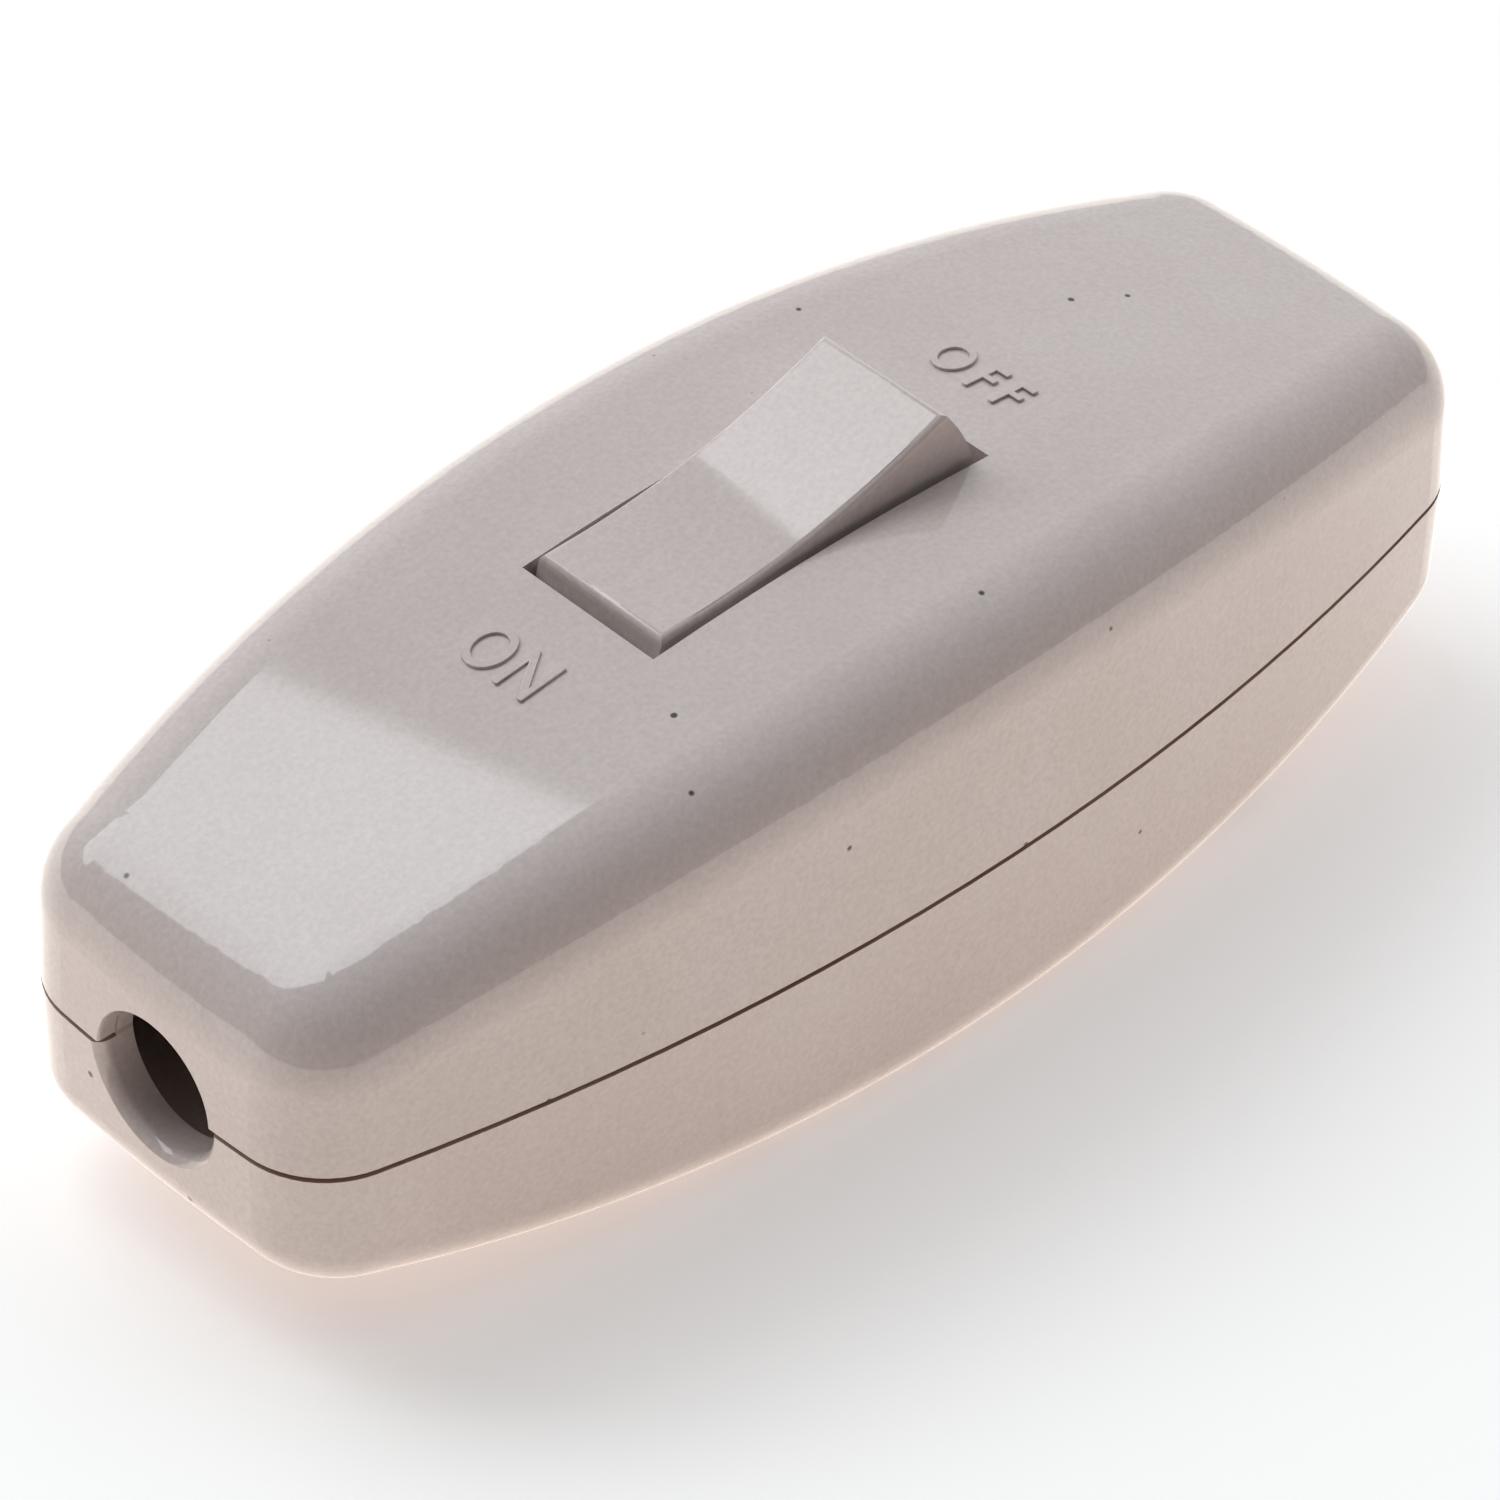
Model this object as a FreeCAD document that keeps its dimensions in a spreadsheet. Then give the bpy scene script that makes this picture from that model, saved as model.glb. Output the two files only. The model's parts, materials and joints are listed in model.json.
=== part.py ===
import FreeCAD, Part
import math
import os
import re

import Sketcher

# Inline cord switch for three-core flex.
# X runs along the cord, the ON end at -X. Z is up, and the flat of the belly stands on Z = 0.
# The rocker rests with its ON end pressed, which closes the contacts.

# Driving sizes in millimetres and degrees
SIZES = {
    # Outside form of the housing
    "body_length": 81.0,
    "body_width": 32.0,
    "body_height": 26.0,
    "end_width": 21.2,
    "end_bow": 0.5,
    "corner_radius": 5.2,
    "parting_height": 12.0,
    "crown_drop": 5.5,
    "belly_rise": 4.6,
    "belly_flat_depth": 0.15,
    "cover_edge_radius": 4.8,
    "belly_edge_radius": 2.9,
    "draft_angle": 1.5,
    # Walls and the seam between the two shells
    "wall": 2.2,
    "seam_gap": 0.3,
    "tongue_height": 1.2,
    "tongue_thickness": 1.0,
    "tongue_clearance": 0.1,
    # Cord holes
    "cord_hole": 8.0,
    "base_lip": 0.9,
    "cover_lip": 0.3,
    # Rocker and its bearing in the cover
    "rocker_offset": -1.0,
    "aperture_length": 22.7,
    "aperture_width": 9.3,
    "rocker_side_gap": 0.3,
    "rocker_end_gap": 0.35,
    "rocker_tilt": 10.5,
    "rocker_stand": 0.9,
    "rocker_blend": 14.0,
    "rocker_edge": 0.45,
    "rocker_skirt": 2.0,
    "rocker_wall": 1.4,
    "rocker_end_wall": 2.8,
    "rocker_top_wall": 1.8,
    "pin_diameter": 2.4,
    "running_clearance": 0.05,
    "bracket_thickness": 2.0,
    "bracket_length": 7.0,
    "bracket_gap": 0.4,
    "bracket_drop": 2.6,
    # Spring tube, plunger and spring
    "tube_length": 8.5,
    "tube_wall": 1.1,
    "plunger_diameter": 3.2,
    "plunger_clearance": 0.1,
    "plunger_guided": 2.5,
    "nose_clearance": 0.1,
    "spring_pocket": 1.6,
    "spring_wire": 0.4,
    "spring_turns": 5.0,
    "spring_clearance": 0.15,
    "spigot_length": 1.4,
    # Contact lever, contacts and their strips
    "lever_tilt": 12.0,
    "lever_arm": 7.6,
    "lever_width": 4.4,
    "lever_thickness": 0.8,
    "lever_pivot": 0.9,
    "lever_side_gap": 0.1,
    "contact_arm": 6.2,
    "contact_gap": 0.03,
    "moving_contact_height": 0.8,
    "fixed_contact_height": 1.1,
    "contact_diameter": 2.8,
    "rivet_diameter": 1.4,
    "rivet_clearance": 0.02,
    "rivet_tail_diameter": 2.1,
    "rivet_tail_height": 0.4,
    "bed_height": 4.0,
    "bed_margin": 0.8,
    "strip_thickness": 0.8,
    "strip_width": 5.0,
    "ear_thickness": 0.9,
    "ear_length": 3.2,
    "ear_rise": 0.3,
    "stop_length": 1.6,
    # Terminals and links
    "pillar_length": 6.0,
    "pillar_height": 7.0,
    "load_terminal_place": 17.0,
    "line_terminal_place": 16.5,
    "wire_hole": 3.0,
    "wire_height": 3.2,
    "link_length": 22.0,
    "link_width": 5.6,
    "link_gap": 0.1,
    "link_bed_height": 3.2,
    "link_screw_place": 7.8,
    "link_wire_depth": 8.5,
    "partition_thickness": 1.2,
    "partition_gap": 1.0,
    "partition_height": 10.5,
    "terminal_screw": 3.0,
    "terminal_head": 4.8,
    "terminal_head_height": 1.8,
    "terminal_screw_length": 3.4,
    "thread_clearance": 0.05,
    "slot_width": 0.8,
    "slot_depth": 0.9,
    # Cord cradles and clamps
    "clamp_inset": 11.5,
    "cradle_length": 6.0,
    "cradle_width": 19.6,
    "cradle_drop": 0.6,
    "clamp_length": 5.0,
    "clamp_width": 19.2,
    "clamp_land": 2.6,
    "clamp_arch_wall": 1.2,
    "clamp_groove": 7.4,
    "grip_rib": 0.4,
    "grip_rib_width": 0.7,
    "clamp_screw": 2.6,
    "clamp_screw_place": 7.1,
    "clamp_screw_length": 7.5,
    "clamp_head": 4.6,
    "clamp_head_height": 1.6,
    "clearance_hole": 0.4,
    # Housing screws from underneath
    "housing_screw": 2.9,
    "housing_screw_inset": 18.6,
    "housing_head": 5.6,
    "housing_head_height": 2.0,
    "well_clearance": 0.6,
    "well_wall": 1.4,
    "screw_seat_height": 5.0,
    "cover_boss": 5.8,
    "boss_clearance": 0.7,
    "thread_engagement": 7.0,
    "thread_runout": 0.5,
}

doc = FreeCAD.newDocument("InlineCordSwitch")
sheet = doc.addObject("Spreadsheet::Sheet", "Sizes")
for row, (alias, size) in enumerate(SIZES.items(), start=1):
    sheet.set(f"A{row}", alias)
    sheet.set(f"B{row}", str(size))
    sheet.setAlias(f"B{row}", alias)
doc.recompute()

SIZE_WORD = re.compile(r"\b(" + "|".join(SIZES) + r")\b")
UP = FreeCAD.Vector(0, 0, 1)
TURN_TO = {
    "x": FreeCAD.Rotation(UP, FreeCAD.Vector(1, 0, 0)),
    "y": FreeCAD.Rotation(UP, FreeCAD.Vector(0, 1, 0)),
    "z": FreeCAD.Rotation(),
}
ENDS = (("on", -1), ("off", 1))
SIDES = (("front", -1), ("back", 1))
# The spring's wire has a six-sided section, which keeps its coils light
WIRE_SIDES = 6

# Places and radii that several pieces share, as formulas of the sizes
HALF_LENGTH = "(body_length / 2 - end_bow)"
SIDE_BULGE = "((body_width - end_width) / 2)"
SIDE_RADIUS = f"(({HALF_LENGTH}^2 + {SIDE_BULGE}^2) / (2 * {SIDE_BULGE}))"
END_RADIUS = "(((end_width / 2)^2 + end_bow^2) / (2 * end_bow))"
CROWN_RADIUS = "(((body_length / 2)^2 + crown_drop^2) / (2 * crown_drop))"
BELLY_DEPTH = "(belly_rise + belly_flat_depth)"
BELLY_RADIUS = f"(((body_length / 2)^2 + {BELLY_DEPTH}^2) / (2 * {BELLY_DEPTH}))"
COVER_RIM = "(parting_height + seam_gap / 2)"
BASE_RIM = "(parting_height - seam_gap / 2)"
TONGUE_TOP = f"({COVER_RIM} + tongue_height)"
PIVOT_DEPTH = "(wall + pin_diameter / 2 + running_clearance)"
PIVOT_HEIGHT = f"(body_height - {PIVOT_DEPTH})"
ROCKER_WIDTH = "(aperture_width - 2 * rocker_side_gap)"
ROCKER_END = "(aperture_length / 2 - rocker_end_gap)"
ROCKER_TOP = f"({PIVOT_DEPTH} + rocker_stand)"
ROCKER_CEILING = f"({ROCKER_TOP} - rocker_top_wall)"
BRACKET_INSIDE = f"({ROCKER_WIDTH} / 2 + bracket_gap)"
TUBE_BORE = "(plunger_diameter / 2 + plunger_clearance)"
STRIP_TOP = "(bed_height + strip_thickness)"
LEVER_BOTTOM = f"({STRIP_TOP} + fixed_contact_height + contact_gap + moving_contact_height)"
LEVER_HEIGHT = f"({LEVER_BOTTOM} + lever_thickness / 2)"
TIP_HEIGHT = f"({LEVER_HEIGHT} + lever_pivot / 2 + plunger_diameter / 2 + nose_clearance)"
PLUNGER_REACH = f"({PIVOT_HEIGHT} - {TIP_HEIGHT})"
PLUNGER_TOP = "(tube_length - plunger_guided)"
EAR_INSIDE = "(lever_width / 2 + lever_side_gap)"
PARTITION_INSIDE = f"({EAR_INSIDE} + ear_thickness + partition_gap)"
LINK_INSIDE = f"({PARTITION_INSIDE} + partition_thickness + link_gap)"
LINK_MIDDLE = f"({LINK_INSIDE} + link_width / 2)"
CLAMP_PLACE = "(body_length / 2 - clamp_inset)"
CRADLE_TOP = "(parting_height - cradle_drop)"
LAND_TOP = f"({CRADLE_TOP} + clamp_land)"
HOUSING_SCREW_PLACE = "(body_length / 2 - housing_screw_inset)"
SIDE_AT_SCREW = f"(body_width / 2 - {SIDE_RADIUS} + sqrt({SIDE_RADIUS}^2 - {HOUSING_SCREW_PLACE}^2))"
SCREW_ASIDE = f"({SIDE_AT_SCREW} - wall - boss_clearance - cover_boss / 2)"


def cells(formula):
    """The formula with each size's name pointed at its cell."""
    return SIZE_WORD.sub(r"Sizes.\1", formula)


def value(formula):
    """What the formula comes to now."""
    return float(sheet.evalExpression(formula))


def bind(obj, prop, formula):
    """Tie a property to the sizes."""
    obj.setExpression(prop, cells(formula))


def place(obj, x="0", y="0", z="0"):
    """Tie an object's position to the sizes."""
    for axis, formula in (("x", x), ("y", y), ("z", z)):
        bind(obj, f"Placement.Base.{axis}", formula)
    return obj


def tilt(obj, way, angle, x, z):
    """Turn an object about Y by one of the angles, and put its pivot at x and z."""
    obj.Placement = FreeCAD.Placement(FreeCAD.Vector(), FreeCAD.Rotation(FreeCAD.Vector(0, way, 0), 1))
    bind(obj, "Placement.Rotation.Angle", angle)
    return place(obj, x=x, z=z)


def box(name, x, y, z):
    """A box between two formulas on each axis."""
    block = doc.addObject("Part::Box", name)
    for prop, (low, high) in zip(("Length", "Width", "Height"), (x, y, z)):
        bind(block, prop, f"({high}) - ({low})")
    return place(block, x[0], y[0], z[0])


def around(centre, width):
    """The two ends of a stretch of this width about a centre."""
    return (f"{centre} - ({width}) / 2", f"{centre} + ({width}) / 2")


def cylinder(name, radius, length, x="0", y="0", z="0", along="z"):
    """A cylinder that starts at x, y, z and runs along one axis."""
    rod = doc.addObject("Part::Cylinder", name)
    rod.Placement = FreeCAD.Placement(FreeCAD.Vector(), TURN_TO[along])
    bind(rod, "Radius", radius)
    bind(rod, "Height", length)
    return place(rod, x, y, z)


def fuse(name, shapes):
    """Several shapes as one solid."""
    joined = doc.addObject("Part::MultiFuse", name)
    joined.Shapes = shapes
    joined.Refine = True
    return joined


def cut(name, base, tools):
    """A shape with all the tools taken out of it."""
    result = doc.addObject("Part::Cut", name)
    result.Base = base
    result.Tool = tools[0] if len(tools) == 1 else fuse(name + "_tools", tools)
    result.Refine = False
    return result


def common(name, base, tool):
    """What two shapes share."""
    result = doc.addObject("Part::Common", name)
    result.Base = base
    result.Tool = tool
    return result


def fit_inside(name, fittings, trim):
    """A shell's inside fittings, each ended by the trim before they are joined."""
    return fuse(name, [common(f"{one.Name}_fitted", one, trim) for one in fittings])


def group(name, solids):
    """Equal fasteners as separate solids of one piece."""
    result = doc.addObject("Part::Compound", name)
    result.Links = solids
    return result


def sketch(body, name, role, height="0"):
    """A sketch on one of a body's own planes."""
    drawing = body.newObject("Sketcher::SketchObject", name)
    plane = next(f for f in body.Origin.OriginFeatures if f.Role == role)
    drawing.AttachmentSupport = [(plane, "")]
    drawing.MapMode = "FlatFace"
    bind(drawing, "AttachmentOffset.Base.z", height)
    return drawing


def fix(drawing, formula, kind, *where):
    """A dimension in a sketch, tied to the sizes."""
    index = drawing.addConstraint(Sketcher.Constraint(kind, *where, value(formula)))
    drawing.setExpression(f"Constraints[{index}]", cells(formula))


def fix_angle(drawing, formula, edge):
    """A straight edge's slope in a sketch, tied to the sizes."""
    start = math.radians(value(formula))
    index = drawing.addConstraint(Sketcher.Constraint("Angle", edge, start))
    drawing.setExpression(f"Constraints[{index}]", cells(formula))


def tie(drawing, kind, *where):
    """A geometric constraint in a sketch."""
    drawing.addConstraint(Sketcher.Constraint(kind, *where))


def line(drawing, start, end):
    """A straight edge in a sketch, returned by its number."""
    return drawing.addGeometry(Part.LineSegment(FreeCAD.Vector(*start), FreeCAD.Vector(*end)))


def arc(drawing, centre, radius, start, end):
    """An arc in a sketch from one angle to another, returned by its number."""
    whole = Part.Circle(FreeCAD.Vector(*centre), UP, radius)
    return drawing.addGeometry(Part.ArcOfCircle(whole, start, end))


def circle(drawing, radius, x="0", y="0"):
    """A circle in a sketch."""
    centre = FreeCAD.Vector(value(x), value(y), 0)
    edge = drawing.addGeometry(Part.Circle(centre, UP, value(radius)))
    fix(drawing, radius, "Radius", edge)
    fix(drawing, x, "DistanceX", -1, 1, edge, 3)
    fix(drawing, y, "DistanceY", -1, 1, edge, 3)


def rectangle(drawing, width, height):
    """A rectangle in a sketch, centred on its origin."""
    right, top = value(width) / 2, value(height) / 2
    corners = [(-right, -top), (right, -top), (right, top), (-right, top)]
    sides = [line(drawing, corners[k] + (0,), corners[(k + 1) % 4] + (0,)) for k in range(4)]
    for k in range(4):
        tie(drawing, "Coincident", sides[k], 2, sides[(k + 1) % 4], 1)
        tie(drawing, "Vertical" if k % 2 else "Horizontal", sides[k])
    tie(drawing, "Symmetric", sides[0], 1, sides[2], 1, -1, 1)
    fix(drawing, width, "DistanceX", sides[0], 1, sides[0], 2)
    fix(drawing, height, "DistanceY", sides[1], 1, sides[1], 2)


def feature(body, kind, name, profile, length=None, midplane=False, reverse=False):
    """A pad or a pocket. Without a length it goes right through."""
    made = body.newObject(f"PartDesign::{kind}", name)
    made.Profile = profile
    made.Reversed = reverse
    made.Midplane = midplane
    if length is None:
        made.Type = "ThroughAll"
    else:
        bind(made, "Length", length)
    doc.recompute()
    return made


def round_edges(body, name, base, faces, radius):
    """A fillet along the outer border of some faces of a feature."""
    counts = [sum(edge.isSame(e) for f in faces for e in f.Edges) for edge in base.Shape.Edges]
    border = [f"Edge{k}" for k, count in enumerate(counts, start=1) if count == 1]
    fillet = body.newObject("PartDesign::Fillet", name)
    fillet.Base = (base, border)
    bind(fillet, "Radius", radius)
    doc.recompute()
    return fillet


def plan_outline(drawing, inset):
    """The housing seen from above: bowed sides and ends joined by round corners, moved in by inset."""
    side_radius, end_radius = value(SIDE_RADIUS), value(END_RADIUS)
    corner, moved = value("corner_radius"), value(inset)
    side_y = value(f"body_width / 2 - {SIDE_RADIUS}")
    end_x = value(f"body_length / 2 - {END_RADIUS}")
    # The corner's centre lies where a side and an end, both moved in by the corner radius, cross
    apart = math.hypot(end_x, side_y)
    along = (apart**2 + (side_radius - corner) ** 2 - (end_radius - corner) ** 2) / (2 * apart)
    across = math.sqrt((side_radius - corner) ** 2 - along**2)
    corner_x = (end_x * along - side_y * across) / apart
    corner_y = side_y + (-side_y * along - end_x * across) / apart
    if corner_x < 0 or corner_y < 0:
        corner_x = (end_x * along + side_y * across) / apart
        corner_y = side_y + (-side_y * along + end_x * across) / apart
    low = math.atan2(corner_y, corner_x - end_x)
    high = math.atan2(corner_y - side_y, corner_x)
    half, full = math.pi, 2 * math.pi
    edges = []
    for k, (x, y, radius, start, end) in enumerate(
        (
            (end_x, 0, end_radius, -low, low),
            (corner_x, corner_y, corner, low, high),
            (0, side_y, side_radius, high, half - high),
            (-corner_x, corner_y, corner, half - high, half - low),
            (-end_x, 0, end_radius, half - low, half + low),
            (-corner_x, -corner_y, corner, half + low, half + high),
            (0, -side_y, side_radius, half + high, full - high),
            (corner_x, -corner_y, corner, full - high, full - low),
        )
    ):
        edges.append(arc(drawing, (x, y, 0), radius - moved, start, end))
        if k:
            tie(drawing, "Tangent", edges[k - 1], 2, edges[k], 1)
    tie(drawing, "Tangent", edges[-1], 2, edges[0], 1)
    for k, edge in enumerate(edges):
        radius = "corner_radius" if k % 2 else (SIDE_RADIUS if k % 4 else END_RADIUS)
        fix(drawing, f"{radius} - ({inset})", "Radius", edge)
    for k, sign in ((0, ""), (4, "-")):
        fix(drawing, f"{sign}(body_length / 2 - {END_RADIUS})", "DistanceX", -1, 1, edges[k], 3)
        fix(drawing, "0", "DistanceY", -1, 1, edges[k], 3)
    for k, sign in ((2, ""), (6, "-")):
        fix(drawing, "0", "DistanceX", -1, 1, edges[k], 3)
        fix(drawing, f"{sign}(body_width / 2 - {SIDE_RADIUS})", "DistanceY", -1, 1, edges[k], 3)


def crown_outline(drawing, apex, radius, way):
    """Side view of what lies beyond the crown: an arc with its apex on Z, closed by a box."""
    reach, beyond = "(body_length / 2 + wall)", f"({apex} + {way} * 2 * wall)"
    centre = f"({apex} - {way} * {radius})"
    spread = math.asin(value(reach) / value(radius))
    x, z_far = way * value(reach), value(beyond)
    z_end = value(centre) + way * value(radius) * math.cos(spread)
    middle = way * math.pi / 2
    bow = arc(drawing, (0, value(centre), 0), value(radius), middle - spread, middle + spread)
    left = line(drawing, (-x, z_end, 0), (-x, z_far, 0))
    far = line(drawing, (-x, z_far, 0), (x, z_far, 0))
    right = line(drawing, (x, z_far, 0), (x, z_end, 0))
    for first, second in ((bow, left), (left, far), (far, right), (right, bow)):
        tie(drawing, "Coincident", first, 2, second, 1)
    tie(drawing, "Vertical", left)
    tie(drawing, "Horizontal", far)
    tie(drawing, "Vertical", right)
    fix(drawing, "0", "DistanceX", -1, 1, bow, 3)
    fix(drawing, centre, "DistanceY", -1, 1, bow, 3)
    fix(drawing, radius, "Radius", bow)
    fix(drawing, f"-({way}) * {reach}", "DistanceX", -1, 1, left, 1)
    fix(drawing, f"{way} * {reach}", "DistanceX", -1, 1, right, 1)
    fix(drawing, beyond, "DistanceY", -1, 1, far, 1)


def half_form(name, inset, rim, apex, radius, way, edge=None):
    """A solid half of the housing: drafted walls from the rim to a crown, its border rounded if asked."""
    body = doc.addObject("PartDesign::Body", name)
    plan = sketch(body, name + "_plan", "XY_Plane", rim)
    plan_outline(plan, inset)
    height = f"{way} * ({apex} - {rim}) + wall"
    walls = feature(body, "Pad", name + "_walls", plan, height, reverse=way < 0)
    bind(walls, "TaperAngle", "-draft_angle")
    side = sketch(body, name + "_side", "XZ_Plane")
    crown_outline(side, apex, radius, way)
    crowned = feature(body, "Pocket", name + "_crown", side, midplane=True)
    if edge is None:
        return body
    crown = max(crowned.Shape.Faces, key=lambda f: way * f.CenterOfMass.z)
    # The walls lean in, so the corners are tightest at the crown, and no rounding there can be larger
    tightest = f"(corner_radius - ({inset}) - {way} * ({apex} - {rim}) * tan(draft_angle))"
    round_edges(body, name + "_border", crowned, [crown], f"min({edge}; {tightest})")
    return body


def outline_prism(name, inset, low, high):
    """The housing's outline, moved in by inset, between two heights."""
    body = doc.addObject("PartDesign::Body", name)
    plan = sketch(body, name + "_plan", "XY_Plane", low)
    plan_outline(plan, inset)
    feature(body, "Pad", name + "_pad", plan, f"{high} - {low}")
    return body


def cord_holes(name, lip):
    """Cutters for both cord holes: a bore through the end wall with a rounded mouth."""
    tools = []
    for end, way in ENDS:
        body = doc.addObject("PartDesign::Body", f"{name}_{end}")
        profile = sketch(body, f"{name}_{end}_profile", "XZ_Plane")
        bore, mouth = "(cord_hole / 2)", f"(cord_hole / 2 + {lip})"
        r, r_out, turn = value(bore), value(mouth), value(lip)
        out, deep = -value("wall"), value("2 * wall")
        back = line(profile, (out, 0, 0), (out, r_out, 0))
        rim = line(profile, (out, r_out, 0), (0, r_out, 0))
        lip_round = arc(profile, (turn, r_out, 0), turn, math.pi, 1.5 * math.pi)
        side = line(profile, (turn, r, 0), (deep, r, 0))
        front = line(profile, (deep, r, 0), (deep, 0, 0))
        axis = line(profile, (deep, 0, 0), (out, 0, 0))
        edges = (back, rim, lip_round, side, front, axis)
        for k in range(6):
            tie(profile, "Coincident", edges[k - 1], 2, edges[k], 1)
        for edge in (rim, side, axis):
            tie(profile, "Horizontal", edge)
        for edge in (back, front):
            tie(profile, "Vertical", edge)
        fix(profile, "-wall", "DistanceX", -1, 1, back, 1)
        fix(profile, "0", "DistanceY", -1, 1, back, 1)
        fix(profile, mouth, "DistanceY", -1, 1, rim, 1)
        fix(profile, "0", "DistanceX", -1, 1, rim, 2)
        fix(profile, lip, "Radius", lip_round)
        fix(profile, lip, "DistanceX", -1, 1, side, 1)
        fix(profile, bore, "DistanceY", -1, 1, side, 1)
        fix(profile, "2 * wall", "DistanceX", -1, 1, side, 2)
        turned = body.newObject("PartDesign::Revolution", f"{name}_{end}_turned")
        turned.Profile = profile
        turned.ReferenceAxis = (profile, ["H_Axis"])
        turned.Angle = 360
        body.Placement = FreeCAD.Placement(FreeCAD.Vector(), FreeCAD.Rotation(UP, 90 + 90 * way))
        tools.append(place(body, f"{way} * body_length / 2", "0", "parting_height"))
    return tools


def housing_screw_places():
    """The two housing screws stand at opposite corners of the interior."""
    return [(end, f"({way} * {HOUSING_SCREW_PLACE})", f"(-({way}) * {SCREW_ASIDE})") for end, way in ENDS]


def make_cover():
    """Upper shell with the aperture, the rocker's brackets and the screw bosses."""
    form = half_form("cover_form", "0", COVER_RIM, "body_height", CROWN_RADIUS, 1, "cover_edge_radius")
    ceiling, ceiling_radius = "(body_height - wall)", f"({CROWN_RADIUS} - wall)"
    core = half_form("cover_core", "wall", COVER_RIM, ceiling, ceiling_radius, 1)
    rebate_inset = "wall - tongue_thickness - tongue_clearance"
    rebate = outline_prism("cover_rebate", rebate_inset, COVER_RIM, TONGUE_TOP)
    shell = cut("cover_shell", form, [core, rebate])

    parts, cuts = [], []
    pivot_slot = "pin_diameter / 2 + running_clearance"
    low = f"({PIVOT_HEIGHT} - bracket_drop)"
    for side, way in SIDES:
        inner, outer = BRACKET_INSIDE, f"({BRACKET_INSIDE} + bracket_thickness)"
        span = (f"min({way} * {inner}; {way} * {outer})", f"max({way} * {inner}; {way} * {outer})")
        bracket_x = around("rocker_offset", "bracket_length")
        parts.append(box(f"bracket_{side}", bracket_x, span, (low, "body_height")))
        slot_x = around("rocker_offset", f"2 * ({pivot_slot})")
        cuts.append(box(f"bracket_slot_{side}", slot_x, span, (low, PIVOT_HEIGHT)))
        cuts.append(
            cylinder(
                f"bracket_seat_{side}",
                pivot_slot,
                "bracket_thickness",
                "rocker_offset",
                span[0],
                PIVOT_HEIGHT,
                "y",
            )
        )
    for end, x, y in housing_screw_places():
        boss_length = f"body_height - {BASE_RIM}"
        parts.append(cylinder(f"cover_boss_{end}", "cover_boss / 2", boss_length, x, y, BASE_RIM))
        pilot = "thread_engagement + thread_runout"
        thread = "housing_screw / 2 + thread_clearance"
        cuts.append(cylinder(f"pilot_{end}", thread, pilot, x, y, BASE_RIM))
    # The fittings end inside the shell's wall
    mid_wall, mid_radius = "(body_height - wall / 2)", f"({CROWN_RADIUS} - wall / 2)"
    trim = half_form("cover_trim", "wall / 2", BASE_RIM, mid_wall, mid_radius, 1)
    fittings = fit_inside("cover_fittings", parts, trim)
    solid = fuse("cover_solid", [shell, fittings])

    aperture = box(
        "aperture",
        around("rocker_offset", "aperture_length"),
        around("0", "aperture_width"),
        (f"{PIVOT_HEIGHT} - bracket_drop", "body_height + wall"),
    )
    return cut("cover", solid, cuts + [aperture] + cord_holes("cover_cord_hole", "cover_lip"))


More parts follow.
